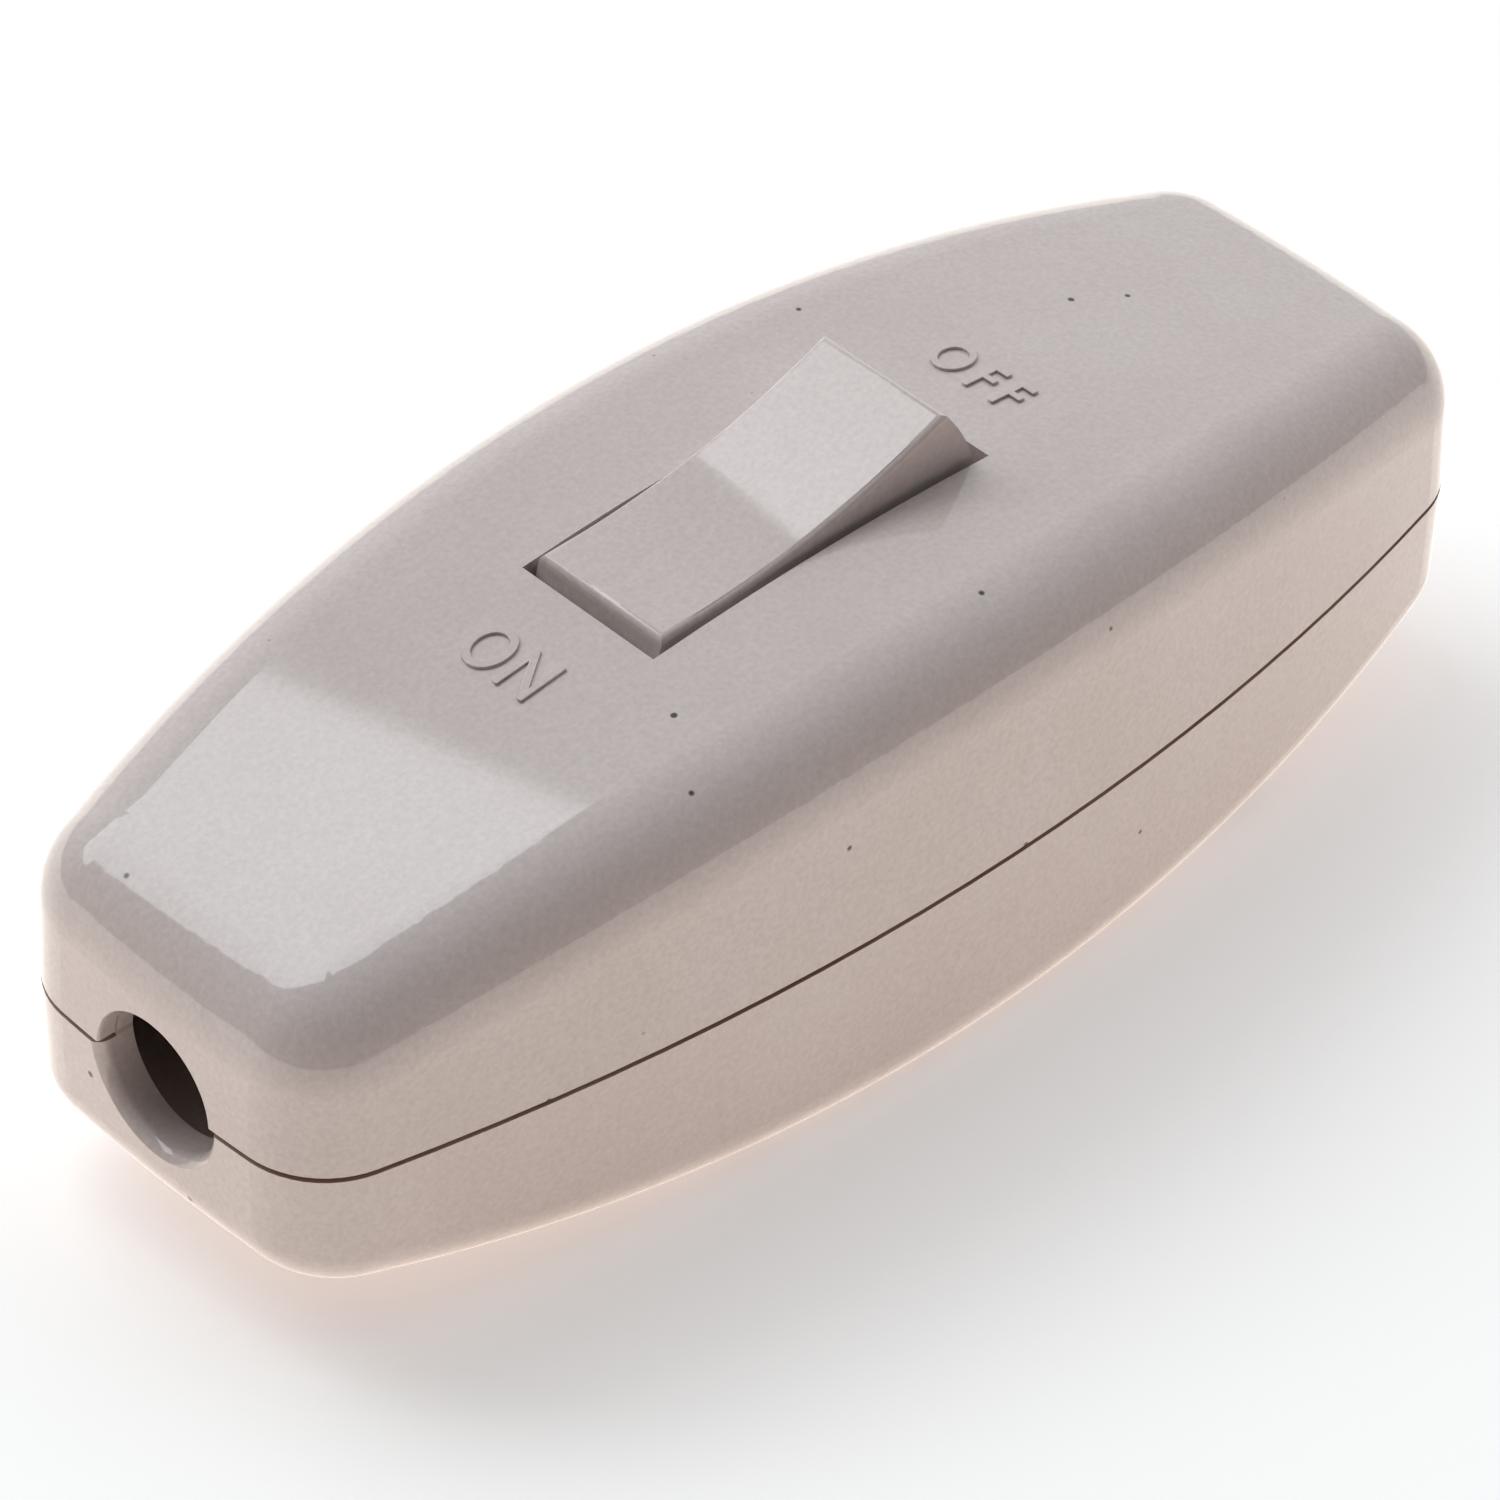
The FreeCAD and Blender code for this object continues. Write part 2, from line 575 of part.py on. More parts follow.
def make_base():
    """Lower shell with the tongue, the beds, the partitions, the cradles and the screw wells."""
    belly = "(-belly_flat_depth)"
    round_form = half_form("base_form", "0", BASE_RIM, belly, BELLY_RADIUS, -1, "belly_edge_radius")
    below_x, below_y = around("0", "2 * body_length"), around("0", "2 * body_width")
    below = box("below_flat", below_x, below_y, ("-wall", "0"))
    form = cut("base_flat_form", round_form, [below])
    floor, floor_radius = f"({belly} + wall)", f"({BELLY_RADIUS} - wall)"
    core = half_form("base_core", "wall", BASE_RIM, floor, floor_radius, -1)
    shell = cut("base_shell", form, [core])

    ring_outside = outline_prism("tongue_outside", "wall - tongue_thickness", BASE_RIM, TONGUE_TOP)
    ring_inside = outline_prism("tongue_inside", "wall", BASE_RIM, TONGUE_TOP)
    tongue = cut("tongue", ring_outside, [ring_inside])

    bed_end = "pillar_length / 2 + bed_margin"
    bed_x = (f"-load_terminal_place - {bed_end}", f"line_terminal_place + {bed_end}")
    bed_y = around("0", "pillar_length + 2 * bed_margin")
    parts = [box("terminal_bed", bed_x, bed_y, ("0", "bed_height"))]
    cradle_cuts, well_cuts = [], []
    for side, way in SIDES:
        wall_y = around(f"{way} * ({PARTITION_INSIDE} + partition_thickness / 2)", "partition_thickness")
        link_x, link_y = around("0", "link_length"), around(f"{way} * {LINK_MIDDLE}", "link_width")
        parts.append(box(f"partition_{side}", link_x, wall_y, ("0", "partition_height")))
        parts.append(box(f"link_bed_{side}", link_x, link_y, ("0", "link_bed_height")))
    for end, way in ENDS:
        middle = f"{way} * {CLAMP_PLACE}"
        cradle_x, cradle_y = around(middle, "cradle_length"), around("0", "cradle_width")
        parts.append(box(f"cradle_{end}", cradle_x, cradle_y, ("0", CRADLE_TOP)))
        cradle_cuts += grooves(f"cradle_groove_{end}", middle, "cradle_length", "cord_hole / 2")
        for side, sign in SIDES:
            depth = "(clamp_screw_length - clamp_land + thread_runout)"
            hole = cylinder(
                f"clamp_pilot_{end}_{side}",
                "clamp_screw / 2 + thread_clearance",
                depth,
                middle,
                f"{sign} * clamp_screw_place",
                f"{CRADLE_TOP} - {depth}",
            )
            cradle_cuts.append(hole)
    for end, x, y in housing_screw_places():
        well = "(housing_head / 2 + well_clearance / 2)"
        parts.append(cylinder(f"well_{end}", f"{well} + well_wall", BASE_RIM, x, y))
        well_cuts.append(cylinder(f"well_bore_{end}", well, "screw_seat_height + wall", x, y, "-wall"))
        shank = "(housing_screw + clearance_hole) / 2"
        well_cuts.append(cylinder(f"screw_way_{end}", shank, f"{BASE_RIM} + wall", x, y, "-wall"))
    # The fittings end inside the shell's wall
    mid_wall, mid_radius = f"({belly} + wall / 2)", f"({BELLY_RADIUS} - wall / 2)"
    trim = half_form("base_trim", "wall / 2", BASE_RIM, mid_wall, mid_radius, -1)
    fittings = fit_inside("base_fittings", parts, trim)
    cradled = cut("base_cradled", fittings, cradle_cuts)
    welled = cut("base_welled", fuse("base_solid", [shell, tongue, cradled]), well_cuts)
    return cut("base", welled, cord_holes("base_cord_hole", "base_lip"))


def grooves(name, middle, length, radius):
    """Cutters for a cord groove that leaves two low grip ribs standing."""
    low = f"{middle} - ({length}) / 2"
    tools = [cylinder(name, f"{radius} - grip_rib", length, low, "0", "parting_height", "x")]
    land = f"(({length} - 2 * grip_rib_width) / 3)"
    for k in range(3):
        start = f"{low} + {k} * ({land} + grip_rib_width)"
        tools.append(cylinder(f"{name}_{k}", radius, land, start, "0", "parting_height", "x"))
    return tools


def make_rocker():
    """Two-way key with a V-shaped top, its trunnions and its spring tube, drawn level about its pivot."""
    body = doc.addObject("PartDesign::Body", "rocker")
    profile = sketch(body, "rocker_profile", "XZ_Plane")
    end, top, skirt = value(ROCKER_END), value(ROCKER_TOP), value("rocker_skirt")
    slope, blend = math.radians(value("rocker_tilt")), value("rocker_blend")
    # Where the sloping top meets the end arc, from the top's distance to the pivot
    along = math.sqrt(end**2 - top**2)
    tip_x = along * math.cos(slope) - top * math.sin(slope)
    tip_z = along * math.sin(slope) + top * math.cos(slope)
    foot_x = math.sqrt(end**2 - skirt**2)
    blend_z = (top + blend) / math.cos(slope)
    touch_x, touch_z = blend * math.sin(slope), blend_z - blend * math.cos(slope)
    foot_turn, tip_turn = math.asin(skirt / end), math.atan2(tip_z, tip_x)
    foot = line(profile, (-foot_x, -skirt, 0), (foot_x, -skirt, 0))
    off_end = arc(profile, (0, 0, 0), end, -foot_turn, tip_turn)
    off_top = line(profile, (tip_x, tip_z, 0), (touch_x, touch_z, 0))
    dip = arc(profile, (0, blend_z, 0), blend, -math.pi / 2 - slope, -math.pi / 2 + slope)
    on_top = line(profile, (-touch_x, touch_z, 0), (-tip_x, tip_z, 0))
    on_end = arc(profile, (0, 0, 0), end, math.pi - tip_turn, math.pi + foot_turn)
    tie(profile, "Horizontal", foot)
    for first, second in ((foot, off_end), (off_end, off_top), (on_top, on_end), (on_end, foot)):
        tie(profile, "Coincident", first, 2, second, 1)
    tie(profile, "Tangent", off_top, 2, dip, 2)
    tie(profile, "Tangent", dip, 1, on_top, 1)
    for edge in (off_end, on_end):
        tie(profile, "Coincident", edge, 3, -1, 1)
        fix(profile, ROCKER_END, "Radius", edge)
    fix(profile, "rocker_skirt", "DistanceY", foot, 1, -1, 1)
    fix(profile, "0", "DistanceX", -1, 1, dip, 3)
    fix(profile, "rocker_blend", "Radius", dip)
    fix(profile, f"({ROCKER_TOP} + rocker_blend) / cos(rocker_tilt)", "DistanceY", -1, 1, dip, 3)
    fix_angle(profile, "180 - rocker_tilt", on_top)
    fix_angle(profile, "rocker_tilt - 180", off_top)
    key = feature(body, "Pad", "rocker_key", profile, ROCKER_WIDTH, midplane=True)
    tops = [f for f in key.Shape.Faces if f.CenterOfMass.z > top]
    round_edges(body, "rocker_edges", key, tops, "rocker_edge")

    inside = sketch(body, "rocker_inside", "XY_Plane", ROCKER_CEILING)
    rectangle(inside, f"2 * ({ROCKER_END} - rocker_end_wall)", f"{ROCKER_WIDTH} - 2 * rocker_wall")
    feature(body, "Pocket", "rocker_hollow", inside)
    tube = sketch(body, "rocker_tube", "XY_Plane", ROCKER_CEILING)
    circle(tube, f"{TUBE_BORE} + tube_wall")
    feature(body, "Pad", "spring_tube", tube, f"{ROCKER_CEILING} + tube_length", reverse=True)
    pin = sketch(body, "rocker_pin", "XZ_Plane")
    circle(pin, "pin_diameter / 2")
    reach = f"2 * ({BRACKET_INSIDE} + bracket_thickness - running_clearance)"
    feature(body, "Pad", "trunnions", pin, reach, midplane=True)
    bore = sketch(body, "tube_bore", "XY_Plane", "-spring_pocket")
    circle(bore, TUBE_BORE)
    feature(body, "Pocket", "spring_bore", bore)
    return tilt(body, -1, "rocker_tilt", "rocker_offset", PIVOT_HEIGHT)


def make_plunger():
    """Round-nosed pin in the rocker's tube, with a spigot that centres its spring."""
    stem_length = f"{PLUNGER_REACH} - {PLUNGER_TOP}"
    stem = cylinder("plunger_stem", "plunger_diameter / 2", stem_length, z=f"-{PLUNGER_REACH}")
    nose = doc.addObject("Part::Sphere", "plunger_nose")
    bind(nose, "Radius", "plunger_diameter / 2")
    place(nose, z=f"-{PLUNGER_REACH}")
    spigot_radius = "plunger_diameter / 2 - spring_wire - 2 * spring_clearance"
    spigot = cylinder("plunger_spigot", spigot_radius, "spigot_length", z=f"-{PLUNGER_TOP}")
    plunger = fuse("plunger", [stem, nose, spigot])
    return tilt(plunger, -1, "rocker_tilt", "rocker_offset", PIVOT_HEIGHT)


def make_spring():
    """Coil spring between the end of the tube's bore and the plunger's shoulder."""
    coil_radius = "(plunger_diameter / 2 - spring_wire / 2 - spring_clearance / 2)"
    coil = doc.addObject("Part::Helix", "spring_path")
    coil_length = f"({PLUNGER_TOP} - spring_pocket - spring_wire)"
    bind(coil, "Height", coil_length)
    bind(coil, "Pitch", f"{coil_length} / spring_turns")
    bind(coil, "Radius", coil_radius)
    place(coil, z=f"-{PLUNGER_TOP} + spring_wire / 2")
    wire = doc.addObject("Part::RegularPolygon", "spring_section")
    wire.Polygon = WIRE_SIDES
    wire.Placement = FreeCAD.Placement(FreeCAD.Vector(), FreeCAD.Rotation(UP, FreeCAD.Vector(0, 1, 0)))
    bind(wire, "Circumradius", "spring_wire / 2")
    place(wire, x=coil_radius, z=f"-{PLUNGER_TOP} + spring_wire / 2")
    doc.recompute()
    spring = doc.addObject("Part::Sweep", "plunger_spring")
    spring.Sections = [wire]
    spring.Spine = (coil, [f"Edge{k}" for k in range(1, len(coil.Shape.Edges) + 1)])
    spring.Solid = True
    spring.Frenet = True
    return tilt(spring, -1, "rocker_tilt", "rocker_offset", PIVOT_HEIGHT)


def make_contact_lever():
    """V-shaped seesaw with its pivot moulded across it, drawn level about the pivot."""
    body = doc.addObject("PartDesign::Body", "lever_blank")
    profile = sketch(body, "lever_profile", "XZ_Plane")
    slope, half = math.radians(value("lever_tilt")), value("lever_thickness") / 2
    arm, rise = value("lever_arm"), half / math.cos(slope)
    tip_x, tip_z = arm * math.cos(slope), arm * math.sin(slope)
    low_tip = (tip_x + half * math.sin(slope), tip_z - half * math.cos(slope))
    top_tip = (tip_x - half * math.sin(slope), tip_z + half * math.cos(slope))
    far_top, far_low = (-top_tip[0], top_tip[1]), (-low_tip[0], low_tip[1])
    points = [(0, -rise), low_tip, top_tip, (0, rise), far_top, far_low]
    edges = [line(profile, points[k] + (0,), points[(k + 1) % 6] + (0,)) for k in range(6)]
    for k in range(6):
        tie(profile, "Coincident", edges[k], 2, edges[(k + 1) % 6], 1)
    fix_angle(profile, "lever_tilt", edges[0])
    tie(profile, "Parallel", edges[0], edges[2])
    tie(profile, "Perpendicular", edges[0], edges[1])
    fix(profile, "0", "DistanceX", -1, 1, edges[0], 1)
    fix(profile, "0", "DistanceX", -1, 1, edges[3], 1)
    fix(profile, "lever_thickness / 2 / cos(lever_tilt)", "DistanceY", edges[0], 1, -1, 1)
    fix(profile, "lever_thickness / 2 / cos(lever_tilt)", "DistanceY", -1, 1, edges[3], 1)
    underside = "lever_arm + lever_thickness / 2 * tan(lever_tilt)"
    fix(profile, underside, "Distance", edges[0], 1, edges[0], 2)
    tie(profile, "Symmetric", edges[1], 2, edges[3], 2, -2)
    tie(profile, "Symmetric", edges[0], 2, edges[4], 2, -2)
    feature(body, "Pad", "lever_arms", profile, "lever_width", midplane=True)
    pivot = sketch(body, "lever_pivot_round", "XZ_Plane")
    circle(pivot, "lever_pivot / 2")
    feature(body, "Pad", "lever_trunnions", pivot, f"2 * ({EAR_INSIDE} + ear_thickness)", midplane=True)
    tilt(body, 1, "lever_tilt", "rocker_offset", LEVER_HEIGHT)
    # The cutter passes the lever by its own thickness, above and below
    hole = cylinder(
        "lever_rivet_hole",
        "rivet_diameter / 2 + rivet_clearance",
        "3 * lever_thickness",
        "rocker_offset + contact_arm",
        "0",
        f"{LEVER_BOTTOM} - lever_thickness",
    )
    return cut("contact_lever", body, [hole])


def make_moving_contact():
    """Rivet through the lever: a flat head underneath, closed over on top."""
    x = "rocker_offset + contact_arm"
    head_low = f"{LEVER_BOTTOM} - moving_contact_height"
    head = cylinder("moving_head", "contact_diameter / 2", "moving_contact_height", x, "0", head_low)
    shank = cylinder("moving_shank", "rivet_diameter / 2", "lever_thickness", x, "0", LEVER_BOTTOM)
    lever_top = f"{LEVER_BOTTOM} + lever_thickness"
    tail = cylinder("moving_tail", "rivet_tail_diameter / 2", "rivet_tail_height", x, "0", lever_top)
    return fuse("moving_contact", [head, shank, tail])


def make_fixed_contact():
    """Rivet in the line strip, its head facing the lever."""
    x = "rocker_offset + contact_arm"
    head = cylinder("fixed_head", "contact_diameter / 2", "fixed_contact_height", x, "0", STRIP_TOP)
    shank = cylinder("fixed_shank", "rivet_diameter / 2", "strip_thickness", x, "0", "bed_height")
    return fuse("fixed_contact", [head, shank])


def pillar(name, x):
    """A screw pillar on the bed, with the cutters for its wire way and its screw."""
    block_x, block_y = around(x, "pillar_length"), around("0", "pillar_length")
    block = box(name, block_x, block_y, ("bed_height", "bed_height + pillar_height"))
    wire_z = "bed_height + wire_height"
    wire = cylinder(name + "_wire", "wire_hole / 2", "pillar_length", block_x[0], "0", wire_z, "x")
    thread = cylinder(
        name + "_thread",
        "terminal_screw / 2 + thread_clearance",
        "pillar_height - wire_height",
        x,
        "0",
        wire_z,
    )
    return block, [wire, thread]


def make_load_terminal():
    """Strip from the ON-end pillar to the lever's seat, with two notched ears and the lever's stop."""
    x = "-load_terminal_place"
    block, cuts = pillar("load_pillar", x)
    seat_x = around("rocker_offset", "ear_length")
    strip = box("load_strip", (x, seat_x[1]), around("0", "strip_width"), ("bed_height", STRIP_TOP))
    seat_y = around("0", f"2 * ({EAR_INSIDE} + ear_thickness)")
    foot = box("load_seat", seat_x, seat_y, ("bed_height", STRIP_TOP))
    stop = box(
        "lever_stop",
        around("rocker_offset - contact_arm", "stop_length"),
        around("0", "contact_diameter"),
        ("bed_height", f"{LEVER_BOTTOM} - contact_gap"),
    )
    parts = [block, strip, foot, stop]
    ear_top = f"({LEVER_HEIGHT} + lever_pivot / 2 + ear_rise)"
    notch = "lever_pivot / 2 + running_clearance"
    for side, way in SIDES:
        ear_y = around(f"{way} * ({EAR_INSIDE} + ear_thickness / 2)", "ear_thickness")
        parts.append(box(f"ear_{side}", seat_x, ear_y, ("bed_height", ear_top)))
        notch_x = around("rocker_offset", f"2 * ({notch})")
        cuts.append(box(f"notch_{side}", notch_x, ear_y, (LEVER_HEIGHT, ear_top)))
        seat = cylinder(
            f"notch_seat_{side}", notch, "ear_thickness", "rocker_offset", ear_y[0], LEVER_HEIGHT, "y"
        )
        cuts.append(seat)
    return cut("load_terminal", fuse("load_blank", parts), cuts)


def make_line_terminal():
    """Strip from the OFF-end pillar to the fixed contact."""
    x = "line_terminal_place"
    block, cuts = pillar("line_pillar", x)
    tip = "rocker_offset + contact_arm - contact_diameter / 2"
    strip = box("line_strip", (tip, x), around("0", "strip_width"), ("bed_height", STRIP_TOP))
    cuts.append(
        cylinder(
            "fixed_rivet_hole",
            "rivet_diameter / 2 + rivet_clearance",
            "strip_thickness",
            "rocker_offset + contact_arm",
            "0",
            "bed_height",
        )
    )
    return cut("line_terminal", fuse("line_blank", [block, strip]), cuts)


def make_link(name, way):
    """Through bar for a core that isn't switched, with a wire way and a screw at each end."""
    y = f"{way} * {LINK_MIDDLE}"
    bar = box(
        name + "_bar",
        around("0", "link_length"),
        around(y, "link_width"),
        ("link_bed_height", "link_bed_height + pillar_height"),
    )
    cuts = []
    for end, sign in ENDS:
        start = f"min({sign} * link_length / 2; {sign} * (link_length / 2 - link_wire_depth))"
        height = "link_bed_height + wire_height"
        wire = cylinder(f"{name}_wire_{end}", "wire_hole / 2", "link_wire_depth", start, y, height, "x")
        cuts.append(wire)
        cuts.append(
            cylinder(
                f"{name}_thread_{end}",
                "terminal_screw / 2 + thread_clearance",
                "pillar_height - wire_height",
                f"{sign} * link_screw_place",
                y,
                height,
            )
        )
    return cut(name, bar, cuts)


def screw(name, head, head_height, shank, length):
    """Slotted screw with its seat on Z = 0 and its head above."""
    cap = cylinder(name + "_head", f"{head} / 2", head_height)
    stem = cylinder(name + "_shank", f"{shank} / 2", length, z=f"-({length})")
    slot_z = (f"{head_height} - slot_depth", head_height)
    slot = box(name + "_slot", around("0", head), around("0", "slot_width"), slot_z)
    return cut(name, fuse(name + "_blank", [cap, stem]), [slot])


def make_terminal_screws():
    """Six equal screws: one in each pillar, two in each link."""
    pillar_top = "bed_height + pillar_height"
    link_top = "link_bed_height + pillar_height"
    spots = [
        ("load", "-load_terminal_place", "0", pillar_top),
        ("line", "line_terminal_place", "0", pillar_top),
    ]
    for link, way in (("neutral", -1), ("earth", 1)):
        for end, sign in ENDS:
            x, y = f"{sign} * link_screw_place", f"{way} * {LINK_MIDDLE}"
            spots.append((f"{link}_{end}", x, y, link_top))
    screws = []
    for spot, x, y, z in spots:
        name = f"{spot}_screw"
        one = screw(name, "terminal_head", "terminal_head_height", "terminal_screw", "terminal_screw_length")
        screws.append(place(one, x, y, z))
    return group("terminal_screws", screws)


def make_cord_clamp(end, way):
    """Arched bar that holds the cord on its cradle."""
    name = f"cord_clamp_{end}_end"
    middle = f"{way} * {CLAMP_PLACE}"
    span = around(middle, "clamp_length")
    bar = box(name + "_bar", span, around("0", "clamp_width"), (CRADLE_TOP, LAND_TOP))
    arch_radius = "clamp_groove / 2 + clamp_arch_wall"
    arch = cylinder(name + "_arch", arch_radius, "clamp_length", span[0], "0", "parting_height", "x")
    below = box(name + "_below", span, around("0", "clamp_width"), ("0", CRADLE_TOP))
    cuts = [below] + grooves(name + "_groove", middle, "clamp_length", "clamp_groove / 2")
    for side, sign in SIDES:
        radius = "(clamp_screw + clearance_hole) / 2"
        aside = f"{sign} * clamp_screw_place"
        cuts.append(cylinder(f"{name}_hole_{side}", radius, "clamp_land", middle, aside, CRADLE_TOP))
    return cut(name, fuse(name + "_blank", [bar, arch]), cuts)


def make_cord_clamp_screws():
    """Four equal screws, two through each clamp into its cradle."""
    screws = []
    for end, way in ENDS:
        for side, sign in SIDES:
            name = f"clamp_screw_{end}_{side}"
            one = screw(name, "clamp_head", "clamp_head_height", "clamp_screw", "clamp_screw_length")
            aside = f"{sign} * clamp_screw_place"
            screws.append(place(one, f"{way} * {CLAMP_PLACE}", aside, LAND_TOP))
    return group("cord_clamp_screws", screws)


def make_housing_screws():
    """Two equal screws from underneath into the cover's bosses."""
    screws = []
    length = f"({BASE_RIM} - screw_seat_height + thread_engagement)"
    for end, x, y in housing_screw_places():
        one = screw(f"housing_screw_{end}", "housing_head", "housing_head_height", "housing_screw", length)
        upside_down = FreeCAD.Rotation(FreeCAD.Vector(1, 0, 0), 180)
        one.Placement = FreeCAD.Placement(FreeCAD.Vector(), upside_down)
        screws.append(place(one, x, y, "screw_seat_height"))
    return group("housing_screws", screws)


pieces = [
    make_cover(),
    make_base(),
    make_rocker(),
    make_plunger(),
    make_spring(),
    make_contact_lever(),
    make_moving_contact(),
    make_fixed_contact(),
    make_load_terminal(),
    make_line_terminal(),
    make_link("neutral_link", -1),
    make_link("earth_link", 1),
    make_terminal_screws(),
]
for end, way in ENDS:
    pieces.append(make_cord_clamp(end, way))
pieces.append(make_cord_clamp_screws())
pieces.append(make_housing_screws())
doc.recompute()

for obj in doc.Objects:
    if "Invalid" in obj.State or "Error" in obj.State:
        raise RuntimeError(f"{obj.Label} failed to build: {obj.State}")
for piece in pieces:
    if piece.Shape.isNull() or not piece.Shape.isValid() or not piece.Shape.Solids:
        raise RuntimeError(f"{piece.Label} has no valid solid")

os.makedirs("parts", exist_ok=True)
for piece in pieces:
    piece.Shape.exportStep(f"parts/{piece.Label}.step")
    print(f"{piece.Label}: {len(piece.Shape.Solids)} solids, {piece.Shape.Volume:.2f} mm3")
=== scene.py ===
# %% [markdown]
# # Inline cord switch
# This lesson dresses a small rocker switch that is wired into the middle of a lamp's cord. Its two
# moulded shells, its key and the metal inside arrive as finished solids. What is left to do here is
# what the eye sees first: the satin plastic, the raised words, the metals, the light and the camera.

# %% Load the switch
import json
import math

import bmesh
import bpy
from mathutils import Matrix, Vector

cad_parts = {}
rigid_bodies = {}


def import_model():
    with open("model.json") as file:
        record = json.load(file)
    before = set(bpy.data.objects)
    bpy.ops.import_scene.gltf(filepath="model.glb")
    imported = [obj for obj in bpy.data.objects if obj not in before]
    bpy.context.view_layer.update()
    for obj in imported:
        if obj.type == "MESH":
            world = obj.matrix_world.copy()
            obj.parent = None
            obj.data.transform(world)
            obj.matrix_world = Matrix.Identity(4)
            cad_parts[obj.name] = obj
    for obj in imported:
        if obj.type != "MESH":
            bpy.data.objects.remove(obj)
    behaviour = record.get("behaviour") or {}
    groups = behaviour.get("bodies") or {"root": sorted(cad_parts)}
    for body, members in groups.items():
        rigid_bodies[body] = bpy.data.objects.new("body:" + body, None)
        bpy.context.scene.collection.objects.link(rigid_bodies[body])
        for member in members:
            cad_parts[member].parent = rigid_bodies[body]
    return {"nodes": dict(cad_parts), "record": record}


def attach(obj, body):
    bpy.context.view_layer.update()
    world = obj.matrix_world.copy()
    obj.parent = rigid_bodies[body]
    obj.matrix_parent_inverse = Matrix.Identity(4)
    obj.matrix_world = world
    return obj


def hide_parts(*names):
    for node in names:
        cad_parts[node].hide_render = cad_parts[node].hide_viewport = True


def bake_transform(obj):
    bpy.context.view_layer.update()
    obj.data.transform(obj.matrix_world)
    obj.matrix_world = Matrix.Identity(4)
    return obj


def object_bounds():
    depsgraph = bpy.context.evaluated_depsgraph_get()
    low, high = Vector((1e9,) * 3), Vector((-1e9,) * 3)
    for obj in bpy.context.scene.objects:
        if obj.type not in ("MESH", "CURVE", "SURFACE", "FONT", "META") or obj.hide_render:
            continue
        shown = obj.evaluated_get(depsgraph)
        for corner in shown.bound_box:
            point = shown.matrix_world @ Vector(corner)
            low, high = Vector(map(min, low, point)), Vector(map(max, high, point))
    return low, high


for leftover in list(bpy.data.objects):
    bpy.data.objects.remove(leftover)

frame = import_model()
cad_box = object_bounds()
nodes = frame["nodes"]
MM = 0.001
print("nodes", len(nodes), "box in mm", [[round(c / MM, 2) for c in corner] for corner in cad_box])

# %% [markdown]
# ## The camera
# A product photograph of something this small is taken from about an arm's length with a long lens,
# so its long edges hardly converge. The camera could be placed by hand, but an angle round the
# object, a height, a distance and a small roll say the same thing in words, and they are easy to
# change. The camera looks along its own -Z, so its turn is built from the three directions of its view.

# %% Camera
CAMERA_AZIMUTH = math.radians(-44.596)
CAMERA_ELEVATION = math.radians(41.174)
CAMERA_ROLL = math.radians(1.44)
CAMERA_DISTANCE = 412.5 * MM
CAMERA_TARGET = Vector((-0.206, 0.908, 8.96)) * MM
CAMERA_NEAR = 10.0 * MM
FOCAL_LENGTH = 5.453  # in widths of the sensor
SENSOR = 36.0


def add_camera():
    """Looks at the target from the photograph's angle, and returns the camera."""
    back = Vector((
        math.sin(CAMERA_AZIMUTH) * math.cos(CAMERA_ELEVATION),
        -math.cos(CAMERA_AZIMUTH) * math.cos(CAMERA_ELEVATION),
        math.sin(CAMERA_ELEVATION),
    ))
    right = Vector((math.cos(CAMERA_AZIMUTH), math.sin(CAMERA_AZIMUTH), 0))
    up = back.cross(right)
    turn = Matrix((right, up, back)).transposed() @ Matrix.Rotation(CAMERA_ROLL, 3, "Z")
    lens = bpy.data.cameras.new("camera")
    lens.sensor_width = SENSOR
    lens.lens = FOCAL_LENGTH * SENSOR
    lens.clip_start = CAMERA_NEAR
    camera = bpy.data.objects.new("camera", lens)
    camera.matrix_world = Matrix.Translation(CAMERA_TARGET + back * CAMERA_DISTANCE) @ turn.to_4x4()
    bpy.context.scene.collection.objects.link(camera)
    bpy.context.scene.camera = camera
    return camera


camera = add_camera()
print("camera at", [round(c / MM, 1) for c in camera.matrix_world.translation], "mm")

# %% [markdown]
# ## Floor and light
# The switch stands on a light table: white paper that glows a little, so that the sides and the belly
# are lit from below and the background stays white. A softbox hangs above and behind it, square to the
# camera, and its far edge draws the sharp bright patch on the near end of the cover and on the raised
# half of the key. The room is bright behind the object and dark behind the camera. That is why the
# lower part of the rounded border, which faces the dark, is the deepest band.

# %% Floor, lamps and world
FLOOR_HALF = 6.0
PAPER = (0.87, 0.85, 0.84, 1)
PAPER_GLOW = (1.0, 0.885, 0.77, 1)
PAPER_GLOW_STRENGTH = 0.85
PAPER_GLOW_SEEN = 0.25
PAPER_ROUGHNESS = 0.9
PAPER_SHINE = 0.1
SOFTBOX_PLACE = (-0.217, 0.564, 0.60)
SOFTBOX_SIZE = (0.90, 0.35)
SOFTBOX_RADIANCE = 3.6
SOFTBOX_WHITE = (0.92, 0.985, 1.0)
ROOM_WHITE = (0.94, 0.975, 1.0, 1)
ROOM_BRIGHT_SIDE = Vector((0.45, 0.5, 0.74)).normalized()
ROOM_DARKEST, ROOM_BRIGHTEST = 0.02, 1.1
ROOM_DARK_FROM, ROOM_BRIGHT_FROM = 0.05, 0.9
WHITE = (1, 1, 1, 1)


def srgb(red, green, blue):
    """A colour picked on a screen, 0 to 255, as the linear colour that a shader reads."""
    def linear(level):
        share = level / 255
        return share / 12.92 if share <= 0.04045 else ((share + 0.055) / 1.055) ** 2.4
    return (linear(red), linear(green), linear(blue), 1)


def material(name):
    """A new node material, with its tree and its Principled shader."""
    made = bpy.data.materials.new(name)
    made.use_nodes = True
    tree = made.node_tree
    return made, tree, tree.nodes["Principled BSDF"]


